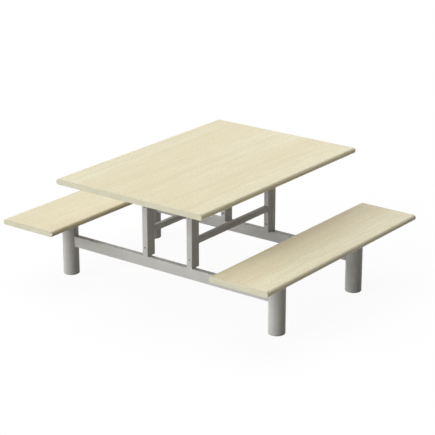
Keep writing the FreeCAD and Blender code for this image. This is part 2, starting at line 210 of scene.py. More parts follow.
marks = {
    "Bands": fade(maple_grain, ragged, *BANDS_APPEAR),
    "Streaks": fade(maple_grain, streak_noise, *STREAKS_APPEAR),
    "Strokes": fade(maple_grain, stroke_noise, *STROKES_APPEAR),
    "Fibres": noise(maple_grain, flowing, FIBRES_PER_METRE, detail=2),
    "Flecks": fade(maple_grain, fleck_noise, *FLECKS_APPEAR),
}
for name, mark in marks.items():
    maple_grain.links.new(mark, result.inputs[name])


def board_laminate(board, shift):
    """Maple laminate that is cut from its own part of the pattern, with a backing sheet."""
    low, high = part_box(board)
    material, tree, shader, place = new_material("maple_laminate_" + board)
    grain = use_group(tree, maple_grain, Vector=place, Shift=shift)
    wood = mix_colours(tree, grain["Bands"], MAPLE_PALE, MAPLE_WARM)
    for mark, (stain, strength) in GRAIN_STAINS.items():
        wood = mix_colours(tree, calculate(tree, "MULTIPLY", grain[mark], strength), wood, stain)

    x_place = add_node(tree, "ShaderNodeSeparateXYZ", inputs={0: place}).outputs["X"]
    from_middle = calculate(tree, "ABSOLUTE", calculate(tree, "SUBTRACT", x_place, (low.x + high.x) / 2))
    backing_half = (high.x - low.x) / 2 - LAMINATE_TURNED_UNDER
    normal = add_node(tree, "ShaderNodeNewGeometry").outputs["True Normal"]
    normal_z = add_node(tree, "ShaderNodeSeparateXYZ", inputs={0: normal}).outputs["Z"]
    underside = calculate(tree, "LESS_THAN", normal_z, FACES_DOWN)
    inside_joints = calculate(tree, "LESS_THAN", from_middle, backing_half)
    backed = calculate(tree, "MULTIPLY", underside, inside_joints)
    specks = noise(tree, place, BACKING_SPECKS_PER_METRE, detail=2)
    specks = calculate(tree, "MULTIPLY", specks, BACKING_SPECKS_STRENGTH)
    sheet = mix_colours(tree, specks, BACKING_SHEET, MAPLE_FLECK)
    colour = mix_colours(tree, backed, wood, sheet)
    at_joint = calculate(tree, "COMPARE", from_middle, backing_half, GLUE_LINE_WIDTH / 2)
    colour = mix_colours(tree, calculate(tree, "MULTIPLY", at_joint, underside), colour, GLUE_LINE)

    handled = fade(tree, noise(tree, place, HANDLED_PER_METRE, detail=3), *HANDLED_APPEARS)
    roughness = between(tree, handled, LAMINATE_ROUGHNESS, HANDLED_ROUGHNESS)
    on_fibres = calculate(tree, "MULTIPLY", grain["Fibres"], FIBRE_ROUGHNESS)
    roughness = calculate(tree, "ADD", roughness, on_fibres)
    height = calculate(tree, "MULTIPLY", grain["Flecks"], FLECK_DEPTH)
    height = calculate(tree, "SUBTRACT", grain["Fibres"], height)
    join_surface(tree, shader, colour, roughness, height, LAMINATE_RELIEF)
    shader.inputs["IOR"].default_value = LAMINATE_IOR
    return material


# Where in the pattern each board is cut from.
BOARD_SHIFTS = {
    "table_top": (0.0, 0.0, 0.0),
    "bench_seat_left": (0.35, 8.0, 0.0),
    "bench_seat_right": (-3.3, 2.2, 0.0),
}
for board, shift in BOARD_SHIFTS.items():
    paint(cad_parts[board], board_laminate(board, shift))


# ---------------------------------------------------------------------------------------
# The end bands.
# Flat strips of matt cream plastic, glued on the sawn ends of the three boards. Their
# upper half is a little darker and warmer, and a thin brown line of glue shows behind
# them. Their rounded edges are lighter: partly wear, partly a painted highlight.
# ---------------------------------------------------------------------------------------

BAND_CREAM = (0.660, 0.642, 0.502, 1)
BAND_SHADE = (0.600, 0.578, 0.446, 1)
# Lighter on the rounded edges: partly wear, partly a painted highlight.
BAND_WEAR_AND_HIGHLIGHT = (0.690, 0.668, 0.535, 1)
# The colour that the upper part of each band turns to: a little darker and warmer.
BAND_UPPER_TONE = (0.636, 0.601, 0.455, 1)
BAND_GLUE_LINE_WIDTH = 0.0005
UPPER_TONE_FROM = 0.45  # of the board's thickness, from below
UPPER_TONE_FULLY = 0.80
UPPER_TONE_STRENGTH = 0.75
ENDS = {"front": -1, "rear": 1}
SIDES = {"left": -1, "right": 1}

TONE_DRIFTS_PER_METRE = 11
TONE_DRIFTS_APPEAR = (0.30, 0.72)
SKIN_ROUGHNESS_SWING = 0.05  # up and down, with the skin's texture
# Rounded edges take a worn colour. On most materials it is lighter, partly wear and partly a painted
# highlight.
RUB_APPEARS = (0.985, 0.80)  # the largest part of a normal, from a flat face to a round edge
RUB_PATCHES_PER_METRE = 28
RUB_PATCHES_APPEAR = (0.35, 0.65)
WEAR_AND_HIGHLIGHT_STRENGTH = 0.6

# The skin of a coated or moulded surface: a fine even texture and a slow drift in tone.
fine_skin, given, result = new_group(
    "fine_skin",
    {"Vector": "NodeSocketVector", "Per Metre": "NodeSocketFloat"},
    ["Height", "Tone"],
)
skin_height = noise(fine_skin, given["Vector"], given["Per Metre"], detail=2)
fine_skin.links.new(skin_height, result.inputs["Height"])
drift = noise(fine_skin, given["Vector"], TONE_DRIFTS_PER_METRE, detail=4)
fine_skin.links.new(fade(fine_skin, drift, *TONE_DRIFTS_APPEAR), result.inputs["Tone"])

# The wear along rounded edges, which on most materials also paints a highlight there:
# strongest where a surface faces between two axes, and broken up, because hands and
# cloths don't wear everywhere alike.
edge_rub, given, result = new_group(
    "edge_rub",
    {"Vector": "NodeSocketVector", "Patches Per Metre": "NodeSocketFloat"},
    ["Mask"],
)
normal = add_node(edge_rub, "ShaderNodeNewGeometry").outputs["True Normal"]
sizes = add_node(edge_rub, "ShaderNodeVectorMath", {"operation": "ABSOLUTE"}, {0: normal}).outputs[0]
parts = add_node(edge_rub, "ShaderNodeSeparateXYZ", inputs={0: sizes})
steepest = calculate(edge_rub, "MAXIMUM", parts.outputs["X"], parts.outputs["Y"])
steepest = calculate(edge_rub, "MAXIMUM", steepest, parts.outputs["Z"])
on_edge = fade(edge_rub, steepest, *RUB_APPEARS)
patches = noise(edge_rub, given["Vector"], given["Patches Per Metre"], detail=3)
patches = fade(edge_rub, patches, *RUB_PATCHES_APPEAR)
edge_rub.links.new(calculate(edge_rub, "MULTIPLY", on_edge, patches), result.inputs["Mask"])


def coated(name, colour, shade, wear_and_highlight, skin_per_metre, relief, roughness, rubbed_roughness):
    """A coated or moulded surface with a fine skin, a drift in tone, and worn edges whose lighter colour
    is partly a painted highlight.
    """
    material, tree, shader, place = new_material(name)
    skin = use_group(tree, fine_skin, Vector=place, **{"Per Metre": skin_per_metre})
    wear_and_highlight_mask = use_group(tree, edge_rub, Vector=place, **{"Patches Per Metre": RUB_PATCHES_PER_METRE})["Mask"]
    base = mix_colours(tree, skin["Tone"], colour, shade)
    base = mix_colours(tree, calculate(tree, "MULTIPLY", wear_and_highlight_mask, WEAR_AND_HIGHLIGHT_STRENGTH), base, wear_and_highlight)
    smoothest = roughness - SKIN_ROUGHNESS_SWING
    roughest = roughness + SKIN_ROUGHNESS_SWING
    on_rub = calculate(tree, "MULTIPLY", wear_and_highlight_mask, rubbed_roughness - roughness)
    rough = calculate(tree, "ADD", between(tree, skin["Height"], smoothest, roughest), on_rub)
    join_surface(tree, shader, base, rough, skin["Height"], relief)
    return material, shader


def band_plastic(board):
    """The plastic of a board's end bands, a little darker and warmer above, with the line of glue behind
    them.
    """
    low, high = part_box(board)
    material, shader = coated(
        "cream_band_plastic_" + board, BAND_CREAM, BAND_SHADE, BAND_WEAR_AND_HIGHLIGHT,
        skin_per_metre=950, relief=0.00012, roughness=0.55, rubbed_roughness=0.42)
    tree = material.node_tree
    place = add_node(tree, "ShaderNodeTexCoord").outputs["Object"]
    axes = add_node(tree, "ShaderNodeSeparateXYZ", inputs={0: place}).outputs
    colour = shader.inputs["Base Color"].links[0].from_socket
    thickness = high.z - low.z
    upper_tone = fade(
        tree, axes["Z"], low.z + UPPER_TONE_FROM * thickness, low.z + UPPER_TONE_FULLY * thickness)
    upper_tone = calculate(tree, "MULTIPLY", upper_tone, UPPER_TONE_STRENGTH)
    colour = mix_colours(tree, upper_tone, colour, BAND_UPPER_TONE)
    from_middle = calculate(tree, "ABSOLUTE", axes["Y"])
    on_line = calculate(tree, "LESS_THAN", from_middle, high.y + BAND_GLUE_LINE_WIDTH)
    colour = mix_colours(tree, on_line, colour, GLUE_LINE)
    tree.links.new(colour, shader.inputs["Base Color"])
    return material


table_band = band_plastic("table_top")
for end in ENDS:
    paint(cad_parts["table_band_" + end], table_band)
for side in SIDES:
    bench_band = band_plastic("bench_seat_" + side)
    for end in ENDS:
        paint(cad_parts["bench_band_" + end + "_" + side], bench_band)


# ---------------------------------------------------------------------------------------
# The steel frame: legs, seat plates, cross rails, posts, uprights, stretchers, bearers
# and top rails. Mild steel tube and plate, welded into frames and powder coated a light
# warm grey, which bakes to a satin skin with a slight orange peel.
# ---------------------------------------------------------------------------------------

POWDER_GREY = (0.531, 0.530, 0.516, 1)
POWDER_SHADE = (0.496, 0.494, 0.480, 1)
# Lighter on the rounded edges: partly wear, partly a painted highlight.
POWDER_WEAR_AND_HIGHLIGHT = (0.595, 0.594, 0.578, 1)
STEEL_PIECES = ("leg_", "seat_plate_", "cross_rail_", "post_", "upright_", "stretcher_", "top_bearer_",
                "top_rail_")

powder_coat, _ = coated(
    "grey_powder_coat", POWDER_GREY, POWDER_SHADE, POWDER_WEAR_AND_HIGHLIGHT,
    skin_per_metre=420, relief=0.00010, roughness=0.46, rubbed_roughness=0.36)
for name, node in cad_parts.items():
    if name.startswith(STEEL_PIECES) and "_plug_" not in name:
        paint(node, powder_coat)


# ---------------------------------------------------------------------------------------
# The weld beads.
# A bead of filler metal, rippled by the torch and powder coated, at each joint of the
# frames. At a leg it fills the wedge between the cross rail's square end and the tube.
# ---------------------------------------------------------------------------------------

BEAD_RADIUS = 0.0022
RIPPLE_PITCH = 0.0020
RIPPLE_DEPTH = 0.14  # to the bead's radius
STEPS_PER_RIPPLE = 4
ROUND_END_LIMIT = 0.98  # how far into its rounding an end goes, so that it keeps a small face
PROFILE_POINTS = 8
TUBE_CORNER = 0.003  # the rolled corner of every rectangular tube
CORNER_STEPS = 3
RAIL_SIDE_STEPS = 6
LEG_ROUND_STEPS = 72
WEDGE_BEAD_INSET = 0.0022  # from a cross rail's front and rear faces to the bead at the leg
SMOOTH_ANGLE = math.radians(35)  # a sharper turn than this stays an edge


def new_geometry_tree(name, inputs):
    """A tree for a modifier, with named inputs after its geometry, and its two end nodes."""
    tree = bpy.data.node_groups.new(name, "GeometryNodeTree")
    tree.interface.new_socket("Geometry", in_out="INPUT", socket_type="NodeSocketGeometry")
    for socket, kind in inputs.items():
        tree.interface.new_socket(socket, in_out="INPUT", socket_type=kind)
    tree.interface.new_socket("Geometry", in_out="OUTPUT", socket_type="NodeSocketGeometry")
    return tree, tree.nodes.new("NodeGroupInput").outputs, tree.nodes.new("NodeGroupOutput")


def finish_tree(tree, geometry, material, result):
    """Ends a tree: real geometry in place of instances, with its material."""
    real = add_node(tree, "GeometryNodeRealizeInstances", inputs={"Geometry": geometry})
    painted = add_node(tree, "GeometryNodeSetMaterial",
                       inputs={"Geometry": real.outputs[0], "Material": material})
    tree.links.new(painted.outputs[0], result.inputs[0])


def run_tree(piece, tree, values):
    """Puts a tree on a piece, with values for its named inputs."""
    modifier = piece.modifiers.new(tree.name, "NODES")
    modifier.node_group = tree
    for item in tree.interface.items_tree:
        if item.in_out == "INPUT" and item.name in values:
            modifier[item.identifier] = values[item.name]


def keep_mesh(piece):
    """Turns what a piece's modifiers make into its own plain mesh."""
    bpy.context.view_layer.update()
    depsgraph = bpy.context.evaluated_depsgraph_get()
    mesh = bpy.data.meshes.new_from_object(piece.evaluated_get(depsgraph), depsgraph=depsgraph)
    piece.modifiers.clear()
    piece.data = mesh
    mesh.name = piece.name
    mesh.shade_smooth()
    mesh.set_sharp_from_angle(angle=SMOOTH_ANGLE)


# The bead's thickness ripples along its path. An open run rounds off over its last radius.
weld_bead, given, result = new_geometry_tree("weld_bead", {
    "Bead Radius": "NodeSocketFloat",
    "Ripple Pitch": "NodeSocketFloat",
    "Ripple Depth": "NodeSocketFloat",
    "Profile Points": "NodeSocketInt",
    "Round Ends": "NodeSocketBool",
    "Material": "NodeSocketMaterial",
})
path = add_node(weld_bead, "GeometryNodeMeshToCurve", inputs={"Mesh": given["Geometry"]}).outputs[0]
step = calculate(weld_bead, "DIVIDE", given["Ripple Pitch"], STEPS_PER_RIPPLE)
path = add_node(weld_bead, "GeometryNodeResampleCurve", {"mode": "LENGTH"},
                {"Curve": path, "Length": step}).outputs[0]
along = add_node(weld_bead, "GeometryNodeSplineParameter").outputs["Length"]
whole = add_node(weld_bead, "GeometryNodeSplineLength").outputs["Length"]
turn = calculate(weld_bead, "DIVIDE", along, given["Ripple Pitch"])
turn = calculate(weld_bead, "MULTIPLY", turn, math.tau)
ripple = calculate(weld_bead, "MULTIPLY", calculate(weld_bead, "SINE", turn), given["Ripple Depth"])
ripple = calculate(weld_bead, "ADD", ripple, 1)
from_end = calculate(weld_bead, "MINIMUM", along, calculate(weld_bead, "SUBTRACT", whole, along))
from_end = calculate(weld_bead, "DIVIDE", from_end, given["Bead Radius"])
short_of_full = calculate(weld_bead, "SUBTRACT", 1, from_end)
short_of_full = calculate(weld_bead, "MAXIMUM", short_of_full, 0)
short_of_full = calculate(weld_bead, "MINIMUM", short_of_full, ROUND_END_LIMIT)
rounding = calculate(weld_bead, "SUBTRACT", 1, calculate(weld_bead, "POWER", short_of_full, 2))
rounding = calculate(weld_bead, "SQRT", rounding)
size = add_node(weld_bead, "GeometryNodeSwitch", {"input_type": "FLOAT"},
                {"Switch": given["Round Ends"], "False": 1.0, "True": rounding}).outputs[0]
size = calculate(weld_bead, "MULTIPLY", size, ripple)
path = add_node(weld_bead, "GeometryNodeSetCurveRadius", inputs={"Curve": path, "Radius": size}).outputs[0]
profile = add_node(weld_bead, "GeometryNodeCurvePrimitiveCircle", inputs={
    "Resolution": given["Profile Points"],
    "Radius": given["Bead Radius"],
}).outputs[0]
bead = add_node(weld_bead, "GeometryNodeCurveToMesh",
                inputs={"Curve": path, "Profile Curve": profile, "Fill Caps": True}).outputs[0]
finish_tree(weld_bead, bead, given["Material"], result)


def mesh_piece(name, vertices, edges=(), faces=()):
    """A new object with this mesh, at the origin."""
    mesh = bpy.data.meshes.new(name)
    mesh.from_pydata(vertices, edges, faces)
    piece = bpy.data.objects.new(name, mesh)
    bpy.context.scene.collection.objects.link(piece)
    return piece


def weld(name, paths, closed):
    """One piece that holds the bead along each path, a list of points."""
    vertices = []
    edges = []
    for points in paths:
        first = len(vertices)
        vertices += points
        edges += [(first + i, first + i + 1) for i in range(len(points) - 1)]
        if closed:
            edges.append((first + len(points) - 1, first))
    piece = mesh_piece(name, vertices, edges)
    run_tree(piece, weld_bead, {
        "Bead Radius": BEAD_RADIUS,
        "Ripple Pitch": RIPPLE_PITCH,
        "Ripple Depth": RIPPLE_DEPTH,
        "Profile Points": PROFILE_POINTS,
        "Round Ends": not closed,
        "Material": powder_coat,
    })
    keep_mesh(piece)
    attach(piece, "root")


def tube_outline(width, height, side_steps):
    """Points round a rectangular tube from its middle, with its rolled corners. The upper and
    lower sides are in steps, so that a bead there can follow a curve."""
    points = []
    half_width = width / 2 - TUBE_CORNER
    half_height = height / 2 - TUBE_CORNER
    for quarter, (across, up) in enumerate([(1, 1), (-1, 1), (-1, -1), (1, -1)]):
        for i in range(CORNER_STEPS + 1):
            angle = (quarter + i / CORNER_STEPS) * math.pi / 2
            points.append((across * half_width + TUBE_CORNER * math.cos(angle),
                           up * half_height + TUBE_CORNER * math.sin(angle)))
        if quarter % 2 == 0:
            start = points[-1][0]
            for i in range(1, side_steps):
                points.append((start - 2 * across * half_width * i / side_steps, points[-1][1]))
    return points


leg_joints = []
plate_joints = []
for end in ENDS:
    rail_low, rail_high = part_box("cross_rail_" + end)
    rail_depth = rail_high.y - rail_low.y
    rail_height = rail_high.z - rail_low.z
    for side, away in SIDES.items():
        leg_low, leg_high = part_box("leg_" + end + "_" + side)
        middle = (leg_low + leg_high) / 2
        leg_radius = (leg_high.y - leg_low.y) / 2
        circle = []
        for i in range(LEG_ROUND_STEPS):
            angle = math.tau * i / LEG_ROUND_STEPS
            across = leg_radius * math.cos(angle)
            along = leg_radius * math.sin(angle)
            circle.append((middle.x + across, middle.y + along, leg_high.z))
        plate_joints.append(circle)
        rail_end = rail_low.x if away < 0 else rail_high.x
        rail_middle_z = (rail_low.z + rail_high.z) / 2
        wedge = []
        for across, up in tube_outline(rail_depth - 2 * WEDGE_BEAD_INSET, rail_height, RAIL_SIDE_STEPS):
            leg_surface = middle.x - away * math.sqrt(leg_radius ** 2 - across ** 2)
            wedge.append(((leg_surface + rail_end) / 2, middle.y + across, rail_middle_z + up))
        leg_joints.append(wedge)
weld("leg_to_plate_welds", plate_joints, closed=True)
weld("leg_to_rail_welds", leg_joints, closed=True)

post_joints = []
stretcher_joints = []
top_rail_joints = []
for side in SIDES:
    for end, forward in ENDS.items():
        post_low, post_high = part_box("post_" + end + "_" + side)
        for x in (post_low.x, post_high.x):
            for z in (post_low.z, post_high.z):
                post_joints.append([(x, post_low.y + TUBE_CORNER, z), (x, post_high.y - TUBE_CORNER, z)])
        for name, joints in (("stretcher_", stretcher_joints), ("top_rail_", top_rail_joints)):
            low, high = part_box(name + side)
            end_y = high.y * forward
            outline = tube_outline(high.x - low.x, high.z - low.z, side_steps=1)
            centre = (low + high) / 2
            joints.append([(centre.x + across, end_y, centre.z + up) for across, up in outline])
# A top rail lies against the table top, so its bead leaves out the upper side.
upper_side = CORNER_STEPS + 1
top_rail_joints = [points[upper_side:] + points[:1] for points in top_rail_joints]
weld("post_welds", post_joints, closed=False)
weld("stretcher_welds", stretcher_joints, closed=True)
weld("top_rail_welds", top_rail_joints, closed=False)


# ---------------------------------------------------------------------------------------
# The bolts, washers and cap nuts.
# A dull grey M6 button-head bolt with a hexagon socket goes through each post and its
# upright at two heights. A zinc-plated washer and cap nut close it on the inner side.
# ---------------------------------------------------------------------------------------

BOLT_HEAD_RADIUS = 0.00525
BOLT_HEAD_HEIGHT = 0.0033
BOLT_DOME = 1.30  # the radius of its dome, to the head's own
BOLT_SOCKET_WIDTH = 0.004
BOLT_SOCKET_DEPTH = 0.0020
BOLT_SHANK_RADIUS = 0.003
BOLT_IN_NUT = 0.0066  # beyond the upright, through the washer and into the nut
WASHER_RADIUS = 0.006
WASHER_THICKNESS = 0.0016
WASHER_HOLE_RADIUS = 0.0035
NUT_WIDTH = 0.010
NUT_HEIGHT = 0.0055
NUT_CHAMFER = 1.06  # the radius of the ball that turns its corners off, to its corner radius
NUT_DOME_RADIUS = 0.0046
WIDTH_TO_CORNER = math.sqrt(3)  # a hexagon's width across its flats, to its corner radius
HEXAGON_SIDES = 6
ROUND_SEGMENTS = 40
BOLT_EASED = 0.0003  # how wide the bolts' sharp edges are eased
ZINC_EASED = 0.0002  # and those of the washers, the cap nuts and the wood screws
EASED_SEGMENTS = 2
EASED_ANGLE = math.radians(32)  # a sharper turn than this is eased
PHOSPHATE_GREY = (0.240, 0.236, 0.228, 1)
PHOSPHATE_SHADE = (0.204, 0.199, 0.190, 1)
PHOSPHATE_RUBBED = (0.336, 0.329, 0.314, 1)
ZINC = (0.310, 0.310, 0.304, 1)
ZINC_SHADE = (0.254, 0.251, 0.242, 1)
ZINC_RUBBED = (0.372, 0.369, 0.360, 1)

phosphated_steel, shader = coated(
    "phosphated_steel", PHOSPHATE_GREY, PHOSPHATE_SHADE, PHOSPHATE_RUBBED,
    skin_per_metre=2600, relief=0.00003, roughness=0.42, rubbed_roughness=0.34)
shader.inputs["Metallic"].default_value = 0.6
zinc_plate, shader = coated(
    "zinc_plated_steel", ZINC, ZINC_SHADE, ZINC_RUBBED,
    skin_per_metre=1800, relief=0.00002, roughness=0.36, rubbed_roughness=0.28)
shader.inputs["Metallic"].default_value = 1.0


def lifted(tree, mesh, height):
    """A mesh, moved up the Z axis by a number or a socket."""
    shift = add_node(tree, "ShaderNodeCombineXYZ", inputs={"Z": height}).outputs[0]
    inputs = {"Geometry": mesh, "Translation": shift}
    return add_node(tree, "GeometryNodeTransform", inputs=inputs).outputs[0]


def cylinder(tree, radius, height, centre_z, sides=ROUND_SEGMENTS):
    """A closed cylinder along Z. Its sizes are numbers or sockets."""
    inputs = {"Vertices": sides, "Radius": radius, "Depth": height}
    made = add_node(tree, "GeometryNodeMeshCylinder", inputs=inputs)
    return lifted(tree, made.outputs["Mesh"], centre_z)


def ball(tree, radius, centre_z):
    """A closed ball. Its size and height are numbers or sockets."""
    inputs = {"Segments": ROUND_SEGMENTS, "Rings": ROUND_SEGMENTS // 2, "Radius": radius}
    made = add_node(tree, "GeometryNodeMeshUVSphere", inputs=inputs)
    return lifted(tree, made.outputs["Mesh"], centre_z)


def cut(tree, blank, *tools):
    """A blank with tools taken out of it."""
    node = add_node(tree, "GeometryNodeMeshBoolean", {"operation": "DIFFERENCE", "solver": "EXACT"},
                    {"Mesh 1": blank})
    for tool in tools:
        tree.links.new(tool, node.inputs["Mesh 2"])
    return node.outputs["Mesh"]


def merge(tree, operation, *blanks):
    """The union or the shared part of closed shapes."""
    node = add_node(tree, "GeometryNodeMeshBoolean", {"operation": operation, "solver": "EXACT"})
    for blank in blanks:
        tree.links.new(blank, node.inputs["Mesh 2"])
    return node.outputs["Mesh"]


def domed_head(tree, given, dome, sides):
    """A round head on the origin, under a dome of this radius to the head's own."""
    half_height = calculate(tree, "DIVIDE", given["Head Height"], 2)
    head = cylinder(tree, given["Head Radius"], given["Head Height"], half_height, sides)
    dome_radius = calculate(tree, "MULTIPLY", given["Head Radius"], dome)
    dome_middle = calculate(tree, "SUBTRACT", given["Head Height"], dome_radius)
    return merge(tree, "INTERSECT", head, ball(tree, dome_radius, dome_middle))


def place_fasteners(tree, given, fastener):
    """Copies a fastener to each point. Its Z axis follows the point's facing, and each copy is
    turned at random about it, as hands leave them."""
    facing = add_node(tree, "GeometryNodeInputNamedAttribute", {"data_type": "FLOAT_VECTOR"},
                      {"Name": "facing"})
    aligned = add_node(tree, "FunctionNodeAlignRotationToVector", {"axis": "Z"},
                       {"Vector": facing.outputs["Attribute"]}).outputs[0]
    # A Random Value node has an output for each type of data, and the second is for numbers.
    turn = add_node(tree, "FunctionNodeRandomValue", {"data_type": "FLOAT"},
                    {"Min": 0.0, "Max": math.tau, "Seed": given["Seed"]}).outputs[1]
    turned = add_node(tree, "FunctionNodeAxisAngleToRotation",
                      inputs={"Axis": (0, 0, 1), "Angle": turn}).outputs[0]
    rotation = add_node(tree, "FunctionNodeRotateRotation", {"rotation_space": "LOCAL"},
                        {"Rotation": aligned, "Rotate By": turned}).outputs[0]
    return add_node(tree, "GeometryNodeInstanceOnPoints", inputs={
        "Points": given["Geometry"],
        "Instance": fastener,
        "Rotation": rotation,
    }).outputs[0]


def ease_edges(piece, width):
    """Adds a fine bevel to a piece's sharp edges."""
    bevel = piece.modifiers.new("eased_edges", "BEVEL")
    bevel.width = width
    bevel.segments = EASED_SEGMENTS
    bevel.limit_method = "ANGLE"
    bevel.angle_limit = EASED_ANGLE
    bevel.use_clamp_overlap = True


def fasteners(name, tree, values, places, replaced, eased):
    """One piece that holds a fastener at each place, a point and the way that it faces."""
    piece = mesh_piece(name, [point for point, _ in places])
    facing = piece.data.attributes.new("facing", "FLOAT_VECTOR", "POINT")
    for i, (_, direction) in enumerate(places):
        facing.data[i].vector = direction
    run_tree(piece, tree, values)
    ease_edges(piece, eased)
    keep_mesh(piece)
    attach(piece, "root")
    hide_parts(replaced)


# The bolt's head stands above its origin, and its shank goes down.
bolt_tree, given, result = new_geometry_tree("button_head_bolt", {
    "Head Radius": "NodeSocketFloat",
    "Head Height": "NodeSocketFloat",
    "Socket Corner Radius": "NodeSocketFloat",
    "Socket Depth": "NodeSocketFloat",
    "Shank Radius": "NodeSocketFloat",
    "Shank Length": "NodeSocketFloat",
    "Seed": "NodeSocketInt",
    "Material": "NodeSocketMaterial",
})
head = domed_head(bolt_tree, given, BOLT_DOME, ROUND_SEGMENTS)
socket_height = calculate(bolt_tree, "MULTIPLY", given["Socket Depth"], 2)
socket = cylinder(
    bolt_tree, given["Socket Corner Radius"], socket_height, given["Head Height"], HEXAGON_SIDES)
shank_middle = calculate(bolt_tree, "DIVIDE", given["Shank Length"], -2)
shank = cylinder(bolt_tree, given["Shank Radius"], given["Shank Length"], shank_middle)
bolt = merge(bolt_tree, "UNION", cut(bolt_tree, head, socket), shank)
finish_tree(bolt_tree, place_fasteners(bolt_tree, given, bolt), given["Material"], result)

washer_tree, given, result = new_geometry_tree("plain_washer", {
    "Radius": "NodeSocketFloat",
    "Hole Radius": "NodeSocketFloat",
    "Thickness": "NodeSocketFloat",
    "Seed": "NodeSocketInt",
    "Material": "NodeSocketMaterial",
})
half_thickness = calculate(washer_tree, "DIVIDE", given["Thickness"], 2)
disc = cylinder(washer_tree, given["Radius"], given["Thickness"], half_thickness)
through = calculate(washer_tree, "MULTIPLY", given["Thickness"], 4)
washer = cut(washer_tree, disc, cylinder(washer_tree, given["Hole Radius"], through, 0))
finish_tree(washer_tree, place_fasteners(washer_tree, given, washer), given["Material"], result)

nut_tree, given, result = new_geometry_tree("cap_nut", {
    "Corner Radius": "NodeSocketFloat",
    "Hexagon Height": "NodeSocketFloat",
    "Dome Radius": "NodeSocketFloat",
    "Bore Radius": "NodeSocketFloat",
    "Bore Depth": "NodeSocketFloat",
    "Seed": "NodeSocketInt",
    "Material": "NodeSocketMaterial",
})
half_height = calculate(nut_tree, "DIVIDE", given["Hexagon Height"], 2)
hexagon = cylinder(nut_tree, given["Corner Radius"], given["Hexagon Height"], half_height, HEXAGON_SIDES)
chamfer_radius = calculate(nut_tree, "MULTIPLY", given["Corner Radius"], NUT_CHAMFER)
hexagon = merge(nut_tree, "INTERSECT", hexagon, ball(nut_tree, chamfer_radius, half_height))
dome = ball(nut_tree, given["Dome Radius"], given["Hexagon Height"])
bore_height = calculate(nut_tree, "MULTIPLY", given["Bore Depth"], 2)
bore = cylinder(nut_tree, given["Bore Radius"], bore_height, 0)
nut = cut(nut_tree, merge(nut_tree, "UNION", hexagon, dome), bore)
finish_tree(nut_tree, place_fasteners(nut_tree, given, nut), given["Material"], result)

bolt_places = []
washer_places = []
nut_places = []
bolts_low, bolts_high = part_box("frame_bolts")
bolt_heights = [bolts_low.z + BOLT_HEAD_RADIUS, bolts_high.z - BOLT_HEAD_RADIUS]
for end, forward in ENDS.items():
    for side in SIDES:
        post_low, post_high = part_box("post_" + end + "_" + side)
        upright_low, upright_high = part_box("upright_" + end + "_" + side)
        x = (post_low.x + post_high.x) / 2
        outer_face = max(abs(post_low.y), abs(post_high.y))
        inner_face = min(abs(upright_low.y), abs(upright_high.y))
        for z in bolt_heights:
            bolt_places.append(((x, forward * outer_face, z), (0, forward, 0)))
            washer_places.append(((x, forward * inner_face, z), (0, -forward, 0)))
            nut_places.append(((x, forward * (inner_face - WASHER_THICKNESS), z), (0, -forward, 0)))

# The posts and uprights are alike, so the last pair gives the length of every bolt.
fasteners("button_head_bolts", bolt_tree, {
    "Head Radius": BOLT_HEAD_RADIUS,
    "Head Height": BOLT_HEAD_HEIGHT,
    "Socket Corner Radius": BOLT_SOCKET_WIDTH / WIDTH_TO_CORNER,
    "Socket Depth": BOLT_SOCKET_DEPTH,
    "Shank Radius": BOLT_SHANK_RADIUS,
    "Shank Length": outer_face - inner_face + BOLT_IN_NUT,
    "Seed": 11,
    "Material": phosphated_steel,
}, bolt_places, replaced="frame_bolts", eased=BOLT_EASED)
fasteners("plain_washers", washer_tree, {
    "Radius": WASHER_RADIUS,
    "Hole Radius": WASHER_HOLE_RADIUS,
    "Thickness": WASHER_THICKNESS,
    "Seed": 12,
    "Material": zinc_plate,
}, washer_places, replaced="frame_washers", eased=ZINC_EASED)
fasteners("cap_nuts", nut_tree, {
    "Corner Radius": NUT_WIDTH / WIDTH_TO_CORNER,
    "Hexagon Height": NUT_HEIGHT,
    "Dome Radius": NUT_DOME_RADIUS,
    "Bore Radius": BOLT_SHANK_RADIUS,
    "Bore Depth": BOLT_IN_NUT - WASHER_THICKNESS,
    "Seed": 13,
    "Material": zinc_plate,
}, nut_places, replaced="frame_cap_nuts", eased=ZINC_EASED)


# ---------------------------------------------------------------------------------------
# The wood screws.
# Zinc-plated pan-head screws with a cross recess, driven up through the seat plates into
# the seats, and through the bearers and the top rails into the table top.
# ---------------------------------------------------------------------------------------

SCREW_HEAD_RADIUS = 0.005
SCREW_HEAD_HEIGHT = 0.0032
SCREW_DOME = 1.35  # the radius of its dome, to the head's own
SCREW_SHANK_RADIUS = 0.0025
SCREW_TIP_LENGTH = 0.005
SCREW_BITE = 0.020  # in the board
CROSS_LENGTH = 0.0046
CROSS_WIDTH = 0.0012
CROSS_DEPTH = 0.0018
SEAT_SCREW_INSET = 0.015  # to the seat plate's edge
BEARER_SCREW_FROM_POST = 0.060
BEARER_SCREW_FROM_END = 0.035
TOP_RAIL_SCREW_FROM_END = 0.060
SCREW_HEAD_SEGMENTS = 24
SCREW_SHANK_SEGMENTS = 16

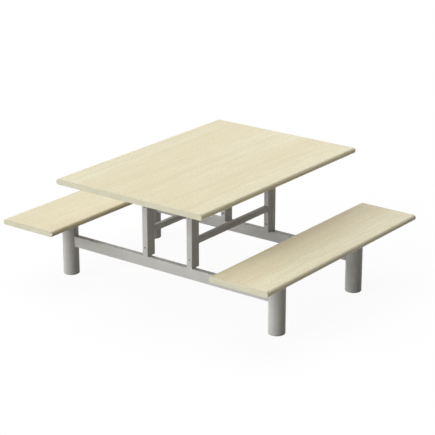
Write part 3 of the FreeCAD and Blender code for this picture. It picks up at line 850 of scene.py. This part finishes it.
# The head stands above the screw's origin, and its shank goes down.
screw_tree, given, result = new_geometry_tree("pan_head_screw", {
    "Head Radius": "NodeSocketFloat",
    "Head Height": "NodeSocketFloat",
    "Shank Radius": "NodeSocketFloat",
    "Shank Length": "NodeSocketFloat",
    "Tip Length": "NodeSocketFloat",
    "Cross Length": "NodeSocketFloat",
    "Cross Width": "NodeSocketFloat",
    "Cross Depth": "NodeSocketFloat",
    "Seed": "NodeSocketInt",
    "Material": "NodeSocketMaterial",
})
head = domed_head(screw_tree, given, SCREW_DOME, SCREW_HEAD_SEGMENTS)
arm_height = calculate(screw_tree, "MULTIPLY", given["Cross Depth"], 2)
arms = []
for along_x, along_y in (("Cross Length", "Cross Width"), ("Cross Width", "Cross Length")):
    arm_size = add_node(screw_tree, "ShaderNodeCombineXYZ",
                        inputs={"X": given[along_x], "Y": given[along_y], "Z": arm_height}).outputs[0]
    arm = add_node(screw_tree, "GeometryNodeMeshCube", inputs={"Size": arm_size}).outputs["Mesh"]
    arms.append(lifted(screw_tree, arm, given["Head Height"]))
plain_length = calculate(screw_tree, "SUBTRACT", given["Shank Length"], given["Tip Length"])
shank_middle = calculate(screw_tree, "DIVIDE", plain_length, -2)
shank = cylinder(screw_tree, given["Shank Radius"], plain_length, shank_middle, SCREW_SHANK_SEGMENTS)
tip = add_node(screw_tree, "GeometryNodeMeshCone", inputs={
    "Vertices": SCREW_SHANK_SEGMENTS,
    "Radius Top": given["Shank Radius"],
    "Radius Bottom": 0.0,
    "Depth": given["Tip Length"],
})
tip_point = calculate(screw_tree, "MULTIPLY", given["Shank Length"], -1)
tip = lifted(screw_tree, tip.outputs["Mesh"], tip_point)
screw = merge(screw_tree, "UNION", cut(screw_tree, head, *arms), shank, tip)
finish_tree(screw_tree, place_fasteners(screw_tree, given, screw), given["Material"], result)


def wood_screws(name, clamped, places, replaced, seed):
    """Screws that clamp a thickness of steel to a board, with their heads facing down."""
    facing_down = [(point, (0, 0, -1)) for point in places]
    fasteners(name, screw_tree, {
        "Head Radius": SCREW_HEAD_RADIUS,
        "Head Height": SCREW_HEAD_HEIGHT,
        "Shank Radius": SCREW_SHANK_RADIUS,
        "Shank Length": clamped + SCREW_BITE,
        "Tip Length": SCREW_TIP_LENGTH,
        "Cross Length": CROSS_LENGTH,
        "Cross Width": CROSS_WIDTH,
        "Cross Depth": CROSS_DEPTH,
        "Seed": seed,
        "Material": zinc_plate,
    }, facing_down, replaced, eased=ZINC_EASED)


seat_screw_places = []
for end in ENDS:
    for side in SIDES:
        low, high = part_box("seat_plate_" + end + "_" + side)
        for x in (low.x + SEAT_SCREW_INSET, high.x - SEAT_SCREW_INSET):
            for y in (low.y + SEAT_SCREW_INSET, high.y - SEAT_SCREW_INSET):
                seat_screw_places.append((x, y, low.z))
# The seat plates are alike, so the last one gives the thickness that the screws clamp.
wood_screws("seat_pan_head_screws", high.z - low.z, seat_screw_places, replaced="seat_screws", seed=21)

top_screw_places = []
for end in ENDS:
    low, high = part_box("top_bearer_" + end)
    for side, away in SIDES.items():
        post_low, post_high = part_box("post_" + end + "_" + side)
        post_x = (post_low.x + post_high.x) / 2
        last_x = away * (high.x - BEARER_SCREW_FROM_END)
        for x in (post_x - BEARER_SCREW_FROM_POST, post_x + BEARER_SCREW_FROM_POST, last_x):
            top_screw_places.append((x, (low.y + high.y) / 2, low.z))
for side in SIDES:
    low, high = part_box("top_rail_" + side)
    for y in (low.y + TOP_RAIL_SCREW_FROM_END, 0, high.y - TOP_RAIL_SCREW_FROM_END):
        top_screw_places.append(((low.x + high.x) / 2, y, low.z))
# The bearers and the top rails are equally high, so the last rail does for all of them.
wood_screws("top_pan_head_screws", high.z - low.z, top_screw_places, replaced="top_screws", seed=22)


# ---------------------------------------------------------------------------------------
# The foot caps and the tube plugs.
# Moulded polyethylene: a round cap in the bottom of each leg, with a rounded rim that
# meets the floor, and a plug in each open end of the bearers and uprights.
# ---------------------------------------------------------------------------------------

FOOT_GREY = (0.500, 0.494, 0.462, 1)
FOOT_SHADE = (0.455, 0.449, 0.420, 1)
FOOT_RUBBED = (0.400, 0.392, 0.365, 1)
PLUG_GREY = (0.380, 0.375, 0.350, 1)
PLUG_SHADE = (0.340, 0.335, 0.312, 1)
PLUG_RUBBED = (0.440, 0.434, 0.408, 1)

foot_plastic, _ = coated(
    "grey_foot_plastic", FOOT_GREY, FOOT_SHADE, FOOT_RUBBED,
    skin_per_metre=700, relief=0.00008, roughness=0.55, rubbed_roughness=0.62)
plug_plastic, _ = coated(
    "grey_plug_plastic", PLUG_GREY, PLUG_SHADE, PLUG_RUBBED,
    skin_per_metre=900, relief=0.00006, roughness=0.50, rubbed_roughness=0.42)
for name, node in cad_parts.items():
    if name.startswith("foot_cap_"):
        paint(node, foot_plastic)
    elif "_plug_" in name:
        paint(node, plug_plastic)


# ---------------------------------------------------------------------------------------
# The floor.
# A plain pale floor that runs out of sight. The eye sees it near white with a faint
# shadow, and it throws little light back up.
# ---------------------------------------------------------------------------------------

FLOOR_HALF = 30.0
FLOOR_BELOW = 0.0002  # keeps the floor clear of the feet
FLOOR_GREY = (0.34, 0.31, 0.255, 1)
FLOOR_WHITE = (1, 1, 1, 1)
SHADOW_SHARE = 0.06


def seen_directly(tree):
    """1 for what the eye sees, also in a reflection or through glass, and 0 for thrown light."""
    rays = add_node(tree, "ShaderNodeLightPath").outputs
    seen = calculate(tree, "MAXIMUM", rays["Is Camera Ray"], rays["Is Glossy Ray"])
    return calculate(tree, "MAXIMUM", seen, rays["Is Transmission Ray"])


def mix_shaders(tree, amount, first, second):
    """The first shader, turning into the second with an amount from 0 to 1."""
    return add_node(tree, "ShaderNodeMixShader", inputs={0: amount, 1: first, 2: second}).outputs[0]


corners = [(x * FLOOR_HALF, y * FLOOR_HALF, -FLOOR_BELOW) for x, y in ((-1, -1), (1, -1), (1, 1), (-1, 1))]
floor = mesh_piece("floor", corners, faces=[(0, 1, 2, 3)])
floor_material = bpy.data.materials.new("pale_floor")
floor_material.use_nodes = True
tree = floor_material.node_tree
tree.nodes.clear()
glow = add_node(tree, "ShaderNodeEmission", inputs={"Color": FLOOR_WHITE, "Strength": 1.0}).outputs[0]
shadowed = add_node(tree, "ShaderNodeBsdfDiffuse", inputs={"Color": FLOOR_WHITE}).outputs[0]
plain = add_node(tree, "ShaderNodeBsdfDiffuse", inputs={"Color": FLOOR_GREY}).outputs[0]
white = mix_shaders(tree, SHADOW_SHARE, glow, shadowed)
surface = mix_shaders(tree, seen_directly(tree), plain, white)
# From below, the floor is clear.
from_below = add_node(tree, "ShaderNodeNewGeometry").outputs["Backfacing"]
clear = add_node(tree, "ShaderNodeBsdfTransparent").outputs[0]
surface = mix_shaders(tree, from_below, surface, clear)
add_node(tree, "ShaderNodeOutputMaterial", inputs={"Surface": surface})
paint(floor, floor_material)


# ---------------------------------------------------------------------------------------
# The light.
# Four broad soft lamps: one overhead, two low in front of the table and to its left, and
# a weak one behind on the left. A faint even surrounding reaches the shaded sides.
# ---------------------------------------------------------------------------------------

# For each lamp: the way to it from the table, its strength and how wide it looks.
LAMPS = {
    "overhead_lamp": ((-0.148, 0.0, 0.989), 1.77, math.radians(60)),
    "front_left_lamp": ((-0.692, -0.692, 0.208), 2.70, math.radians(60)),
    "front_lamp": ((-0.119, -0.971, 0.208), 1.26, math.radians(60)),
    "rear_left_lamp": ((-0.433, 0.750, 0.500), 0.60, math.radians(90)),
}
SURROUND_WHITE = (1, 1, 1, 1)
SURROUND_STRENGTH = 0.02
SURROUND_SEEN = 1.0  # white to the eye

for name, (direction, strength, width) in LAMPS.items():
    lamp = bpy.data.objects.new(name, bpy.data.lights.new(name, "SUN"))
    lamp.data.energy = strength
    lamp.data.angle = width
    lamp.rotation_mode = "QUATERNION"
    lamp.rotation_quaternion = Vector(direction).to_track_quat("Z", "Y")
    bpy.context.scene.collection.objects.link(lamp)

surround = bpy.data.worlds.new("pale_surround")
bpy.context.scene.world = surround
surround.use_nodes = True
tree = surround.node_tree
tree.nodes.clear()
strength = between(tree, seen_directly(tree), SURROUND_STRENGTH, SURROUND_SEEN)
background = add_node(tree, "ShaderNodeBackground", inputs={"Color": SURROUND_WHITE, "Strength": strength})
add_node(tree, "ShaderNodeOutputWorld", inputs={"Surface": background.outputs[0]})
bpy.context.scene.view_settings.view_transform = "Standard"


# ---------------------------------------------------------------------------------------
# The camera.
# A long lens, a little above the table and to the right of its front end.
# ---------------------------------------------------------------------------------------

CAMERA_AZIMUTH = math.radians(37.02)
CAMERA_ELEVATION = math.radians(19.60)
CAMERA_DISTANCE = 9.536
CAMERA_TARGET = Vector((0.0201, 0.0440, 0.400))
CAMERA_SENSOR = 36.0  # mm
CAMERA_LENS = 132.12  # mm

away_from_table = Vector((
    math.sin(CAMERA_AZIMUTH) * math.cos(CAMERA_ELEVATION),
    -math.cos(CAMERA_AZIMUTH) * math.cos(CAMERA_ELEVATION),
    math.sin(CAMERA_ELEVATION),
))
camera = bpy.data.objects.new("camera", bpy.data.cameras.new("camera"))
camera.data.sensor_width = CAMERA_SENSOR
camera.data.lens = CAMERA_LENS
camera.location = CAMERA_TARGET + away_from_table * CAMERA_DISTANCE
camera.rotation_mode = "QUATERNION"
camera.rotation_quaternion = away_from_table.to_track_quat("Z", "Y")
bpy.context.scene.collection.objects.link(camera)
bpy.context.scene.camera = camera
